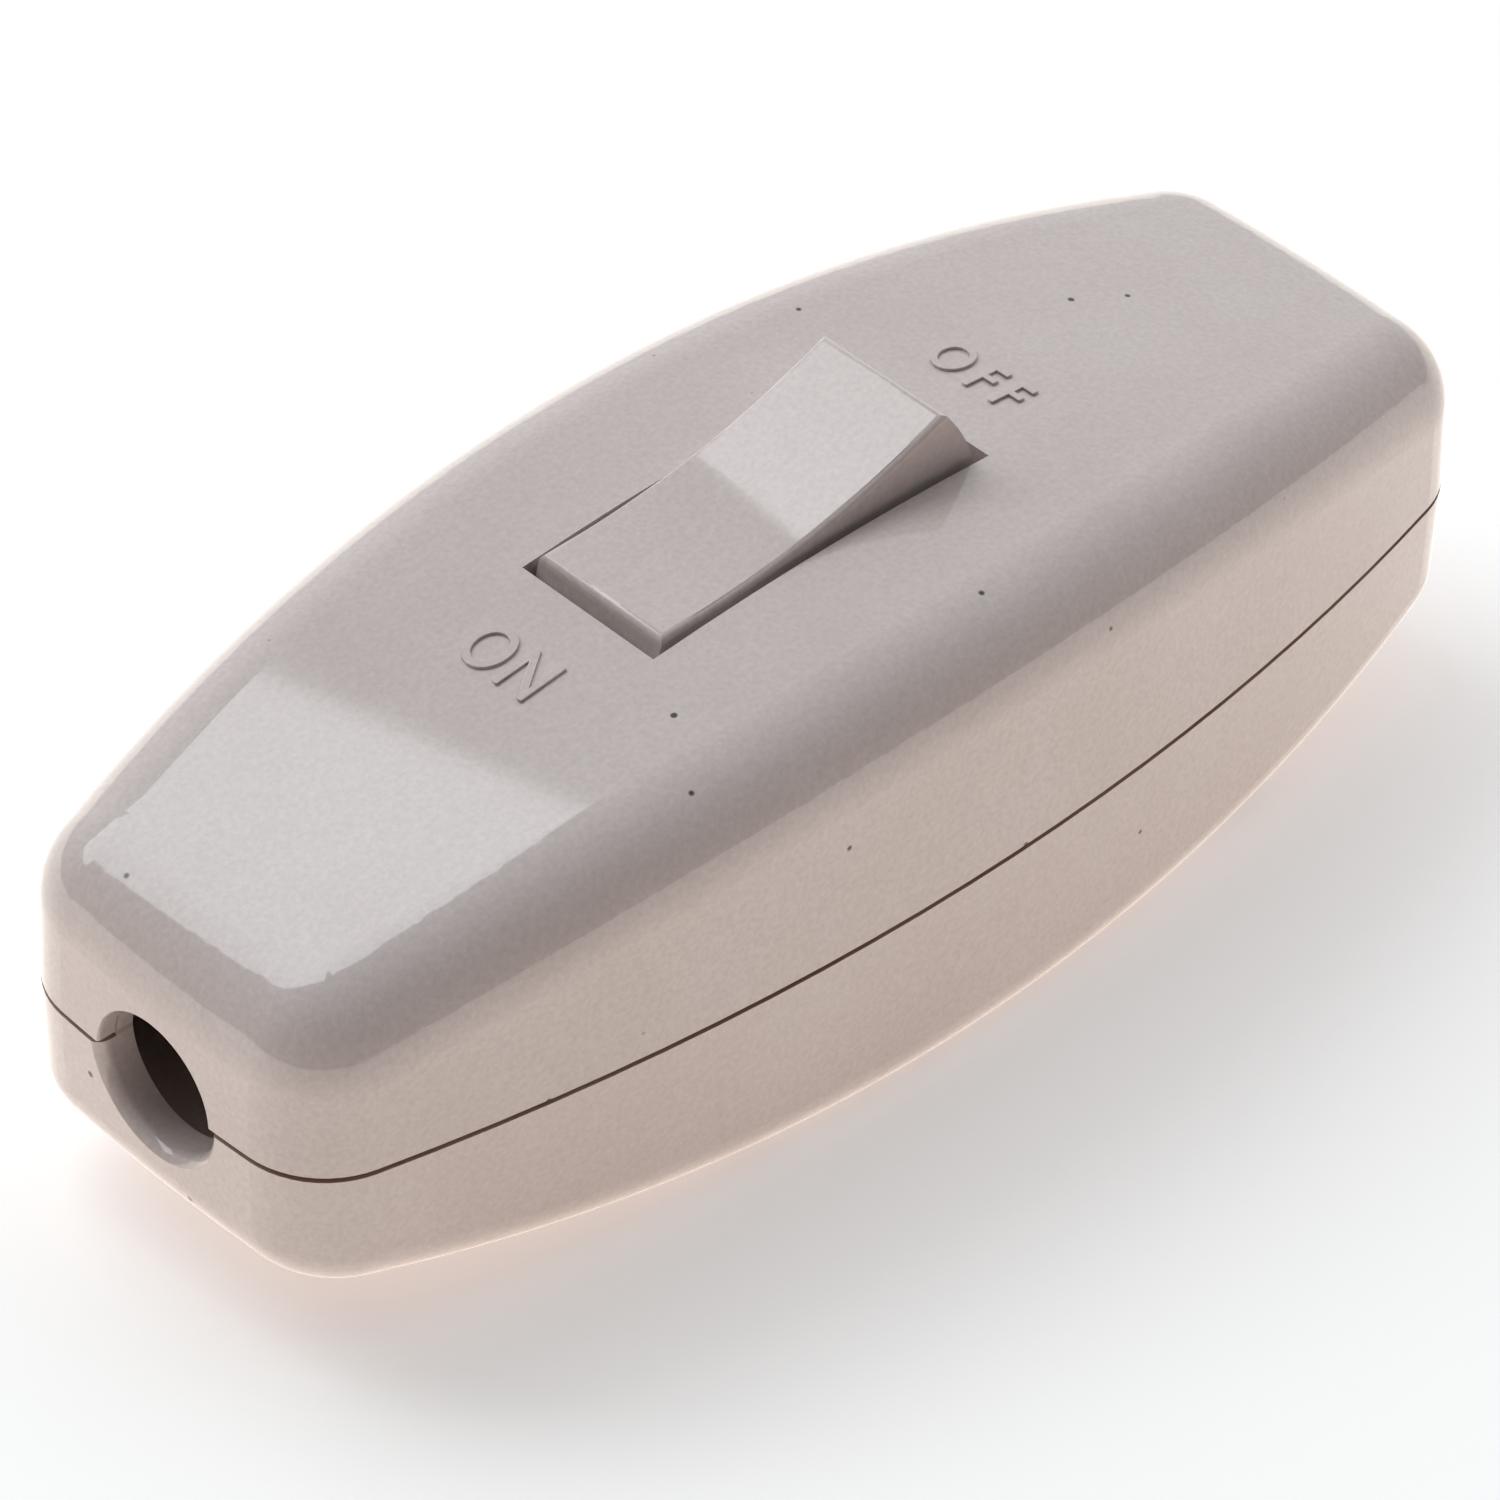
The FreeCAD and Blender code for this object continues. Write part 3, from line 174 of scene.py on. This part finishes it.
def mix_colour(tree, factor, first, second):
    """Mixes two colours, each a socket or a plain colour; returns the mixed colour."""
    node = tree.nodes.new("ShaderNodeMix")
    node.data_type = "RGBA"
    tree.links.new(factor, node.inputs["Factor"])
    for label, source in (("A", first), ("B", second)):
        socket = [s for s in node.inputs if s.name == label and s.type == "RGBA"][0]
        if isinstance(source, tuple):
            socket.default_value = source
        else:
            tree.links.new(source, socket)
    return [s for s in node.outputs if s.type == "RGBA"][0]


def math_node(tree, operation, first, second=None, third=None):
    """A Math node whose inputs are sockets or plain numbers; returns its output."""
    node = tree.nodes.new("ShaderNodeMath")
    node.operation = operation
    for socket, source in zip(node.inputs, (first, second, third)):
        if source is None:
            continue
        if isinstance(source, (int, float)):
            socket.default_value = source
        else:
            tree.links.new(source, socket)
    return node.outputs[0]


def add_floor():
    """A wide sheet of white paper under the object."""
    mesh = bpy.data.meshes.new("floor")
    shape = bmesh.new()
    bmesh.ops.create_grid(shape, x_segments=1, y_segments=1, size=FLOOR_HALF)
    shape.to_mesh(mesh)
    shape.free()
    floor = bpy.data.objects.new("floor", mesh)
    bpy.context.scene.collection.objects.link(floor)
    paper, tree, shader = material("paper")
    shader.inputs["Base Color"].default_value = PAPER
    shader.inputs["Roughness"].default_value = PAPER_ROUGHNESS
    shader.inputs["Specular IOR Level"].default_value = PAPER_SHINE
    # The glow is warm on the object. The camera sees it white, and weak enough to keep the shadow
    seen = tree.nodes.new("ShaderNodeLightPath").outputs["Is Camera Ray"]
    glow = mix_colour(tree, seen, PAPER_GLOW, WHITE)
    drop = PAPER_GLOW_SEEN - PAPER_GLOW_STRENGTH
    strength = math_node(tree, "MULTIPLY_ADD", seen, drop, PAPER_GLOW_STRENGTH)
    tree.links.new(glow, shader.inputs["Emission Color"])
    tree.links.new(strength, shader.inputs["Emission Strength"])
    mesh.materials.append(paper)
    return floor


def add_softbox():
    """A level rectangular lamp, square to the camera, with the radiance that its reflection shows."""
    lamp = bpy.data.lights.new("softbox", "AREA")
    lamp.shape = "RECTANGLE"
    lamp.size, lamp.size_y = SOFTBOX_SIZE
    lamp.energy = SOFTBOX_RADIANCE * math.pi * lamp.size * lamp.size_y
    lamp.color = SOFTBOX_WHITE
    holder = bpy.data.objects.new("softbox", lamp)
    holder.location = SOFTBOX_PLACE
    holder.rotation_euler = (0, 0, CAMERA_AZIMUTH)
    bpy.context.scene.collection.objects.link(holder)
    return holder


def add_world():
    """A room that is bright on one side and dark on the other, and white where the camera looks."""
    world = bpy.data.worlds.new("studio")
    world.use_nodes = True
    tree = world.node_tree
    tree.nodes.clear()
    output = tree.nodes.new("ShaderNodeOutputWorld")
    room = tree.nodes.new("ShaderNodeBackground")
    white = tree.nodes.new("ShaderNodeBackground")
    choice = tree.nodes.new("ShaderNodeMixShader")
    path = tree.nodes.new("ShaderNodeLightPath")
    towards = tree.nodes.new("ShaderNodeVectorMath")
    towards.operation = "DOT_PRODUCT"
    towards.inputs[1].default_value = ROOM_BRIGHT_SIDE
    ramp = tree.nodes.new("ShaderNodeMapRange")
    ramp.inputs["From Min"].default_value = ROOM_DARK_FROM
    ramp.inputs["From Max"].default_value = ROOM_BRIGHT_FROM
    ramp.inputs["To Min"].default_value = ROOM_DARKEST
    ramp.inputs["To Max"].default_value = ROOM_BRIGHTEST
    tree.links.new(tree.nodes.new("ShaderNodeTexCoord").outputs["Generated"], towards.inputs[0])
    tree.links.new(towards.outputs["Value"], ramp.inputs["Value"])
    tree.links.new(ramp.outputs["Result"], room.inputs["Strength"])
    room.inputs["Color"].default_value = ROOM_WHITE
    white.inputs["Color"].default_value = WHITE
    tree.links.new(path.outputs["Is Camera Ray"], choice.inputs["Fac"])
    tree.links.new(room.outputs["Background"], choice.inputs[1])
    tree.links.new(white.outputs["Background"], choice.inputs[2])
    tree.links.new(choice.outputs["Shader"], output.inputs["Surface"])
    bpy.context.scene.world = world


floor = add_floor()
softbox = add_softbox()
add_world()
bpy.context.scene.view_settings.view_transform = "Standard"
print("stage", floor.name, softbox.name, bpy.context.scene.world.name)

# %% [markdown]
# ## Shared effects
# Three effects come back on several pieces, so each is a node group with named sockets. The first is
# the fine grain that a spark-eroded mould leaves on plastic. The second is the dust that any old
# switch carries, a few dark specks. The third is the fine streak of turned and rolled metal.

# %% Node groups
SPECK_EDGE = 12.0
STREAK_STRETCH = (0.06, 1, 1)
TARNISH_SIZE = 2.5 * MM


def node_group(name, inputs, outputs):
    """A shader node group with float inputs and outputs, and its two ends."""
    group = bpy.data.node_groups.new(name, "ShaderNodeTree")
    for label, value in inputs.items():
        socket = group.interface.new_socket(label, in_out="INPUT", socket_type="NodeSocketFloat")
        socket.default_value = value
    for label in outputs:
        group.interface.new_socket(label, in_out="OUTPUT", socket_type="NodeSocketFloat")
    start = group.nodes.new("NodeGroupInput")
    end = group.nodes.new("NodeGroupOutput")
    return group, start, end


def object_coordinates(tree):
    """The place on the object, in metres."""
    return tree.nodes.new("ShaderNodeTexCoord").outputs["Object"]


def noise(tree, place, scale, detail=2.0, roughness=0.5):
    """A noise from 0 to 1; scale is a number or a socket, in repeats per metre."""
    node = tree.nodes.new("ShaderNodeTexNoise")
    tree.links.new(place, node.inputs["Vector"])
    if isinstance(scale, (int, float)):
        node.inputs["Scale"].default_value = scale
    else:
        tree.links.new(scale, node.inputs["Scale"])
    node.inputs["Detail"].default_value = detail
    node.inputs["Roughness"].default_value = roughness
    return node.outputs["Fac"]


def make_grain_group():
    """Fine height of a spark-eroded mould, and a slow mottle of its gloss."""
    group, start, end = node_group("mould_grain", {"Size": 0.4, "Mottle size": 9.0}, ["Height", "Mottle"])
    place = object_coordinates(group)
    grain_scale = math_node(group, "DIVIDE", 1 / MM, start.outputs["Size"])
    mottle_scale = math_node(group, "DIVIDE", 1 / MM, start.outputs["Mottle size"])
    group.links.new(noise(group, place, grain_scale, 3.0, 0.6), end.inputs["Height"])
    group.links.new(noise(group, place, mottle_scale, 3.0, 0.55), end.inputs["Mottle"])
    return group


def make_speck_group():
    """A mask that is 1 in small round specks, scattered by the cells of a Voronoi pattern."""
    group, start, end = node_group("dust_specks", {"Spacing": 3.4, "Radius": 0.24}, ["Mask"])
    place = object_coordinates(group)
    cells = group.nodes.new("ShaderNodeTexVoronoi")
    cells.feature = "F1"
    group.links.new(place, cells.inputs["Vector"])
    group.links.new(math_node(group, "DIVIDE", 1 / MM, start.outputs["Spacing"]), cells.inputs["Scale"])
    distance = math_node(group, "MULTIPLY", cells.outputs["Distance"], start.outputs["Spacing"])
    inside = math_node(group, "SUBTRACT", start.outputs["Radius"], distance)
    soft = math_node(group, "MULTIPLY", inside, SPECK_EDGE)
    clamp = group.nodes.new("ShaderNodeClamp")
    group.links.new(soft, clamp.inputs["Value"])
    group.links.new(clamp.outputs["Result"], end.inputs["Mask"])
    return group


def make_streak_group():
    """Fine streaks along X, as a rolling mill or a lathe leaves them on metal."""
    group, start, end = node_group("metal_streaks", {"Width": 0.12}, ["Height", "Tint"])
    place = object_coordinates(group)
    mapping = group.nodes.new("ShaderNodeMapping")
    mapping.inputs["Scale"].default_value = STREAK_STRETCH
    group.links.new(place, mapping.inputs["Vector"])
    scale = math_node(group, "DIVIDE", 1 / MM, start.outputs["Width"])
    group.links.new(noise(group, mapping.outputs["Vector"], scale, 2.0), end.inputs["Height"])
    group.links.new(noise(group, place, 1 / TARNISH_SIZE, 3.0), end.inputs["Tint"])
    return group


mould_grain = make_grain_group()
dust_specks = make_speck_group()
metal_streaks = make_streak_group()
print("groups", [group.name for group in bpy.data.node_groups])

# %% [markdown]
# ## The plastics
# The shells are moulded in a warm pale grey that has kept a satin shine. A real moulding isn't one
# flat colour: its tone drifts a little, its gloss is uneven where hands have polished it, and its
# grain breaks up every reflection. The plastics share that grain, and each has colours and a gloss of
# its own. Only the housing also carries dust, and a brown band of painted shade, stronger in patches,
# on the line where its two shells meet.

# %% Plastic materials
HOUSING_LIGHT = srgb(203, 190, 187)
HOUSING_DARK = srgb(199, 185, 181)
GRAIN_PIT = srgb(120, 108, 104)
GRAIN_SHADE = 0.2
GRAIN_SIZE = 0.32
GRAIN_DEPTH = 0.0009 * MM
MOTTLE_SIZE = 9.0
MOULDED_GLOSS = (0.05, 0.07)
PLASTIC_IOR = 1.5
DUST = srgb(62, 50, 46)
SPECK_SPACING = 4.2
SPECK_RADIUS = 0.22
# Painted shade: a brown band on the seam between the two shells, stronger in patches
SEAM_PAINTED_SHADE = srgb(160, 122, 102)
SEAM_HEIGHT = 12.0 * MM
SEAM_REACH = 0.16 * MM
SEAM_SHADE_WEAK, SEAM_SHADE_STRONG = 0.35, 0.8
NOISE_LOW, NOISE_HIGH = 0.3, 0.7


def use_group(tree, group, **values):
    """Places a group in a material and sets its inputs."""
    node = tree.nodes.new("ShaderNodeGroup")
    node.node_tree = group
    for label, value in values.items():
        node.inputs[label.replace("_", " ")].default_value = value
    return node


def map_range(tree, value, low, high):
    """Spreads a noise, which stays near its middle, over low to high."""
    node = tree.nodes.new("ShaderNodeMapRange")
    node.inputs["From Min"].default_value = NOISE_LOW
    node.inputs["From Max"].default_value = NOISE_HIGH
    node.inputs["To Min"].default_value = low
    node.inputs["To Max"].default_value = high
    tree.links.new(value, node.inputs["Value"])
    return node.outputs["Result"]


def bump(tree, shader, height, distance):
    """Raises the surface by a height from 0 to 1 times the distance."""
    node = tree.nodes.new("ShaderNodeBump")
    node.inputs["Distance"].default_value = distance
    tree.links.new(height, node.inputs["Height"])
    tree.links.new(node.outputs["Normal"], shader.inputs["Normal"])


def seam_shade_mask(tree, mottle):
    """A mask for painted shade that is 1 on the line where the two shells meet, and weaker in patches."""
    split = tree.nodes.new("ShaderNodeSeparateXYZ")
    tree.links.new(object_coordinates(tree), split.inputs["Vector"])
    off_seam = math_node(tree, "ABSOLUTE", math_node(tree, "SUBTRACT", split.outputs["Z"], SEAM_HEIGHT))
    near_seam = math_node(tree, "LESS_THAN", off_seam, SEAM_REACH)
    return math_node(tree, "MULTIPLY", near_seam, map_range(tree, mottle, SEAM_SHADE_WEAK, SEAM_SHADE_STRONG))


def plastic(name, light, dark, gloss, dust_and_seam_shade=False):
    """A moulded plastic: drifting tone, uneven gloss, fine grain and, if asked, dust and painted seam
    shade.
    """
    made, tree, shader = material(name)
    grain = use_group(tree, mould_grain, Size=GRAIN_SIZE, Mottle_size=MOTTLE_SIZE)
    tone = mix_colour(tree, map_range(tree, grain.outputs["Mottle"], 0.0, 1.0), dark, light)
    colour = mix_colour(tree, map_range(tree, grain.outputs["Height"], GRAIN_SHADE, 0.0), tone, GRAIN_PIT)
    if dust_and_seam_shade:
        dust = use_group(tree, dust_specks, Spacing=SPECK_SPACING, Radius=SPECK_RADIUS)
        colour = mix_colour(tree, dust.outputs["Mask"], colour, DUST)
        # Painted shade: the seam where the two shells meet is coloured brown
        colour = mix_colour(tree, seam_shade_mask(tree, grain.outputs["Mottle"]), colour, SEAM_PAINTED_SHADE)
    tree.links.new(colour, shader.inputs["Base Color"])
    rough = map_range(tree, grain.outputs["Mottle"], gloss[0], gloss[1])
    tree.links.new(rough, shader.inputs["Roughness"])
    shader.inputs["IOR"].default_value = PLASTIC_IOR
    bump(tree, shader, grain.outputs["Height"], GRAIN_DEPTH)
    return made


housing_plastic = plastic("housing_plastic", HOUSING_LIGHT, HOUSING_DARK, MOULDED_GLOSS, dust_and_seam_shade=True)
rocker_plastic = plastic("rocker_plastic", srgb(205, 191, 188), srgb(202, 187, 183), MOULDED_GLOSS)
inner_plastic = plastic("inner_plastic", srgb(226, 221, 208), srgb(216, 209, 194), (0.35, 0.5))
print("plastics", housing_plastic.name, rocker_plastic.name, inner_plastic.name)

# %% [markdown]
# ## The metals
# Inside, brass strip carries the current, two silver rivets meet when the switch is on, and plated
# steel makes the screws and the spring. A metal's colour is its reflection, so the colour goes on
# the metallic shader, and rolling or turning streaks break its gloss.

# %% Metal materials
STREAK_DEPTH = 0.003 * MM


def metal(name, bright, dull, gloss, streak_width):
    """A worked metal: tone that drifts with tarnish, and fine streaks."""
    made, tree, shader = material(name)
    streaks = use_group(tree, metal_streaks, Width=streak_width)
    tint = map_range(tree, streaks.outputs["Tint"], 0.0, 1.0)
    tree.links.new(mix_colour(tree, tint, dull, bright), shader.inputs["Base Color"])
    tree.links.new(map_range(tree, streaks.outputs["Tint"], gloss[1], gloss[0]), shader.inputs["Roughness"])
    shader.inputs["Metallic"].default_value = 1.0
    bump(tree, shader, streaks.outputs["Height"], STREAK_DEPTH)
    return made


contact_brass = metal("contact_brass", srgb(212, 176, 104), srgb(198, 160, 90), (0.24, 0.34), 0.1)
contact_silver = metal("contact_silver", srgb(226, 224, 218), srgb(196, 190, 180), (0.16, 0.3), 0.08)
screw_steel = metal("screw_steel", srgb(198, 198, 196), srgb(166, 165, 162), (0.22, 0.36), 0.08)
spring_steel = metal("spring_steel", srgb(176, 178, 182), srgb(140, 142, 146), (0.2, 0.32), 0.05)
print("metals", contact_brass.name, contact_silver.name, screw_steel.name, spring_steel.name)

# %% [markdown]
# ## A finish for every solid
# Each solid comes with one plain material that is named after its slot in the part's record. That
# name is the key: the table below turns it into the finish made above, so a screw added later gets
# its steel without a line of code.

# %% Give every solid its finish
FINISHES = {
    "housing_plastic": housing_plastic,
    "rocker_plastic": rocker_plastic,
    "inner_plastic": inner_plastic,
    "contact_brass": contact_brass,
    "contact_silver": contact_silver,
    "screw_steel": screw_steel,
    "spring_steel": spring_steel,
}


def finish_nodes():
    """Puts the finish of its record slot on every node; returns how many got one."""
    for node in nodes.values():
        slot = node.data.materials[0].name
        node.data.materials[0] = FINISHES[slot]
    return len(nodes)


print("finished nodes", finish_nodes())

# %% [markdown]
# ## The key
# Beside the real switch, the solid key stands almost a millimetre too proud, and the hollow of its
# top is too tight. A solid is never changed here, so a copy takes its place. Held level, the copy is
# cut across into strips, and the top of each strip is brought down to a lower and rounder hollow.
# Everything from the trunnions down stays, and the ends stay on their arc round the pivot, so the key
# still swings freely in its opening.

# %% Key with a lower top
WELD = 0.001 * MM
SHARP_EDGE = math.radians(32)
KEY_END = 11.0 * MM
KEY_SOLID = {"depth": 4.35 * MM, "blend": 14.0 * MM}
KEY_LOWERED = {"depth": 3.62 * MM, "blend": 40.0 * MM}
KEY_FIXED_BELOW = 1.5 * MM
KEY_RIGID_TOP = 1.0 * MM
KEY_TOP_SKIN = 0.03 * MM
KEY_STRIP = 0.4 * MM
KEY_STRIPS_EACH_WAY = 27

joints = {joint["name"]: joint for joint in frame["record"]["behaviour"]["joints"]}
key_pivot = Vector(joints["rocker_tilt"]["pos_m"])
key_tilt = math.radians(joints["rocker_tilt"]["range_deg"][1] / 2)


def welded(node):
    """A bmesh copy of a solid, with its loose triangles joined into one skin."""
    shape = bmesh.new()
    shape.from_mesh(nodes[node].data)
    bmesh.ops.remove_doubles(shape, verts=shape.verts, dist=WELD)
    return shape


def dressed_copy(name, shape, node):
    """Makes a bmesh into an object that stands for a solid and wears its finish."""
    for face in shape.faces:
        face.smooth = True
    mesh = bpy.data.meshes.new(name)
    shape.to_mesh(mesh)
    shape.free()
    stored = mesh.attributes.get("custom_normal")
    if stored:
        mesh.attributes.remove(stored)
    mesh.set_sharp_from_angle(angle=SHARP_EDGE)
    mesh.materials.append(nodes[node].data.materials[0])
    piece = bpy.data.objects.new(name, mesh)
    bpy.context.scene.collection.objects.link(piece)
    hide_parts(node)
    return piece


def key_top(along, depth, blend):
    """Height of the level key's hollow top over its pivot, at a distance along the key."""
    if abs(along) < blend * math.sin(key_tilt):
        return (depth + blend) / math.cos(key_tilt) - math.sqrt(blend**2 - along**2)
    return depth / math.cos(key_tilt) + abs(along) * math.tan(key_tilt)


def lowered(point):
    """Where a point of the level key goes when its top comes down."""
    top = key_top(point.x, **KEY_SOLID)
    new_top = key_top(point.x, **KEY_LOWERED)
    below_top = top - point.z
    if below_top < KEY_TOP_SKIN:
        height = new_top
    elif below_top < KEY_RIGID_TOP:
        height = new_top - below_top
    else:
        squeeze = (new_top - KEY_RIGID_TOP - KEY_FIXED_BELOW) / (top - KEY_RIGID_TOP - KEY_FIXED_BELOW)
        height = KEY_FIXED_BELOW + (point.z - KEY_FIXED_BELOW) * squeeze
    widening = math.sqrt((KEY_END**2 - height**2) / (KEY_END**2 - point.z**2))
    return Vector((point.x * widening, point.y, height))


def lower_key():
    """The key with its top at the real height, riding where the solid key does."""
    shape = welded("rocker")
    level = Matrix.Rotation(key_tilt, 4, "Y") @ Matrix.Translation(-key_pivot)
    bmesh.ops.transform(shape, matrix=level, verts=shape.verts)
    for strip in range(-KEY_STRIPS_EACH_WAY, KEY_STRIPS_EACH_WAY + 1):
        everything = shape.verts[:] + shape.edges[:] + shape.faces[:]
        bmesh.ops.bisect_plane(
            shape, geom=everything, dist=WELD, plane_co=(strip * KEY_STRIP, 0, 0), plane_no=(1, 0, 0)
        )
    for corner in shape.verts:
        if corner.co.z > KEY_FIXED_BELOW:
            corner.co = lowered(corner.co)
    bmesh.ops.transform(shape, matrix=level.inverted(), verts=shape.verts)
    key = dressed_copy("rocker_key", shape, "rocker")
    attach(key, "rocker")
    return key


key = lower_key()
key_height = max(corner.co.z for corner in key.data.vertices)
print("key", len(key.data.polygons), "faces, top at", round(key_height / MM, 2), "mm")

# %% [markdown]
# ## The spring
# The coil spring sits in the key's tube and presses on the plunger. It is the one piece that isn't
# rigid: its top stays with the key and its foot goes with the plunger, and a rigid coil would be
# pierced when the plunger slides in. Here a copy of the solid takes its place, welded and smoothly
# shaded, and fixed where it stands.

# %% Spring that shortens
def closing_spring():
    """A copy of the spring that shortens as the plunger slides in."""
    spring = dressed_copy("coil_spring", welded("plunger_spring"), "plunger_spring")
    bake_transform(spring)
    return spring


spring = closing_spring()
print("spring", len(spring.data.polygons), "faces")

# %% [markdown]
# ## The raised words
# ON and OFF are moulded with the cover and stand a sixth of a millimetre proud of it. Text objects
# give the outlines; made into meshes, they are laid on the cover by dropping each point onto the
# curved top, so that the words follow the crown and never float or sink.

# %% Raised ON and OFF
WORDS = {
    "ON": {"size": 4.2 * MM, "spacing": 1.12, "centre": (-17.4 * MM, 0.25 * MM)},
    "OFF": {"size": 3.6 * MM, "spacing": 1.4, "centre": (14.7 * MM, 0.5 * MM)},
}
LETTER_NARROWING = 0.76
LETTER_PROUD = 0.17 * MM
LETTER_SUNK = 0.15 * MM
LETTER_BEVEL = 0.05 * MM
LETTER_BEVEL_STEPS = 2


def raised_word(word, size, spacing, centre):
    """A word on the cover, read with its letters' tops towards +X; rides on the housing."""
    text = bpy.data.curves.new(f"word_{word}", "FONT")
    text.body = word
    text.size = size
    text.space_character = spacing
    text.align_x = "CENTER"
    text.align_y = "CENTER"
    text.extrude = (LETTER_PROUD + LETTER_SUNK) / 2 - LETTER_BEVEL
    text.bevel_depth = LETTER_BEVEL
    text.bevel_resolution = LETTER_BEVEL_STEPS
    outline = bpy.data.objects.new(f"outline_{word}", text)
    bpy.context.scene.collection.objects.link(outline)
    bpy.context.view_layer.update()
    seen = outline.evaluated_get(bpy.context.evaluated_depsgraph_get())
    mesh = bpy.data.meshes.new_from_object(seen)
    bpy.data.objects.remove(outline)
    mesh.transform(Matrix.Rotation(-math.pi / 2, 4, "Z") @ Matrix.Scale(LETTER_NARROWING, 4, (1, 0, 0)))
    mesh.transform(Matrix.Translation((centre[0], centre[1], 0)))
    cover = nodes["cover"]
    above = cad_box[1].z + 1 * MM
    for point in mesh.vertices:
        hit, seat, _, _ = cover.ray_cast((point.co.x, point.co.y, above), (0, 0, -1))
        if not hit:
            raise RuntimeError(f"no cover under the word {word}")
        point.co.z += seat.z + (LETTER_PROUD - LETTER_SUNK) / 2
    mesh.materials.clear()
    mesh.materials.append(housing_plastic)
    piece = bpy.data.objects.new(f"raised_{word.lower()}", mesh)
    bpy.context.scene.collection.objects.link(piece)
    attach(piece, "housing")
    return piece


words = [raised_word(word, **layout) for word, layout in WORDS.items()]
print("words", [(word.name, len(word.data.polygons)) for word in words])
